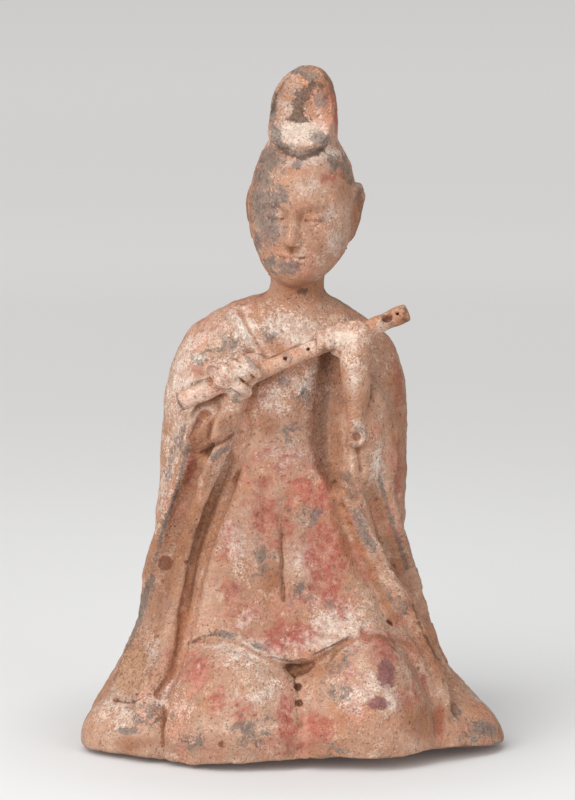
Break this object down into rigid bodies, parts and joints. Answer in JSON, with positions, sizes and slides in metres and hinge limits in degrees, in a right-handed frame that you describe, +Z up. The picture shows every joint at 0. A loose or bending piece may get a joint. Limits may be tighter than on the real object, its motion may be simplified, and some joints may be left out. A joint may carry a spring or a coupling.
{
  "type": "musician figurine",
  "caption": "Kneeling flute player in long robes with a tall topknot, press-moulded in earthenware as one piece with its flute, standing on a flat underside.",
  "frame": {"origin": "middle of the footprint, on the flat underside", "axes": "+Z up through the topknot, -Y the way the player faces, +X to a viewer's right when facing the player"},
  "size_m": [0.1118, 0.0844, 0.179],
  "materials": {
    "earthenware": "matt, worn, unglazed fired clay with remains of slip and pigment"
  },
  "bodies": {
    "root": {"musician_figurine": "earthenware"}
  },
  "joints": []
}
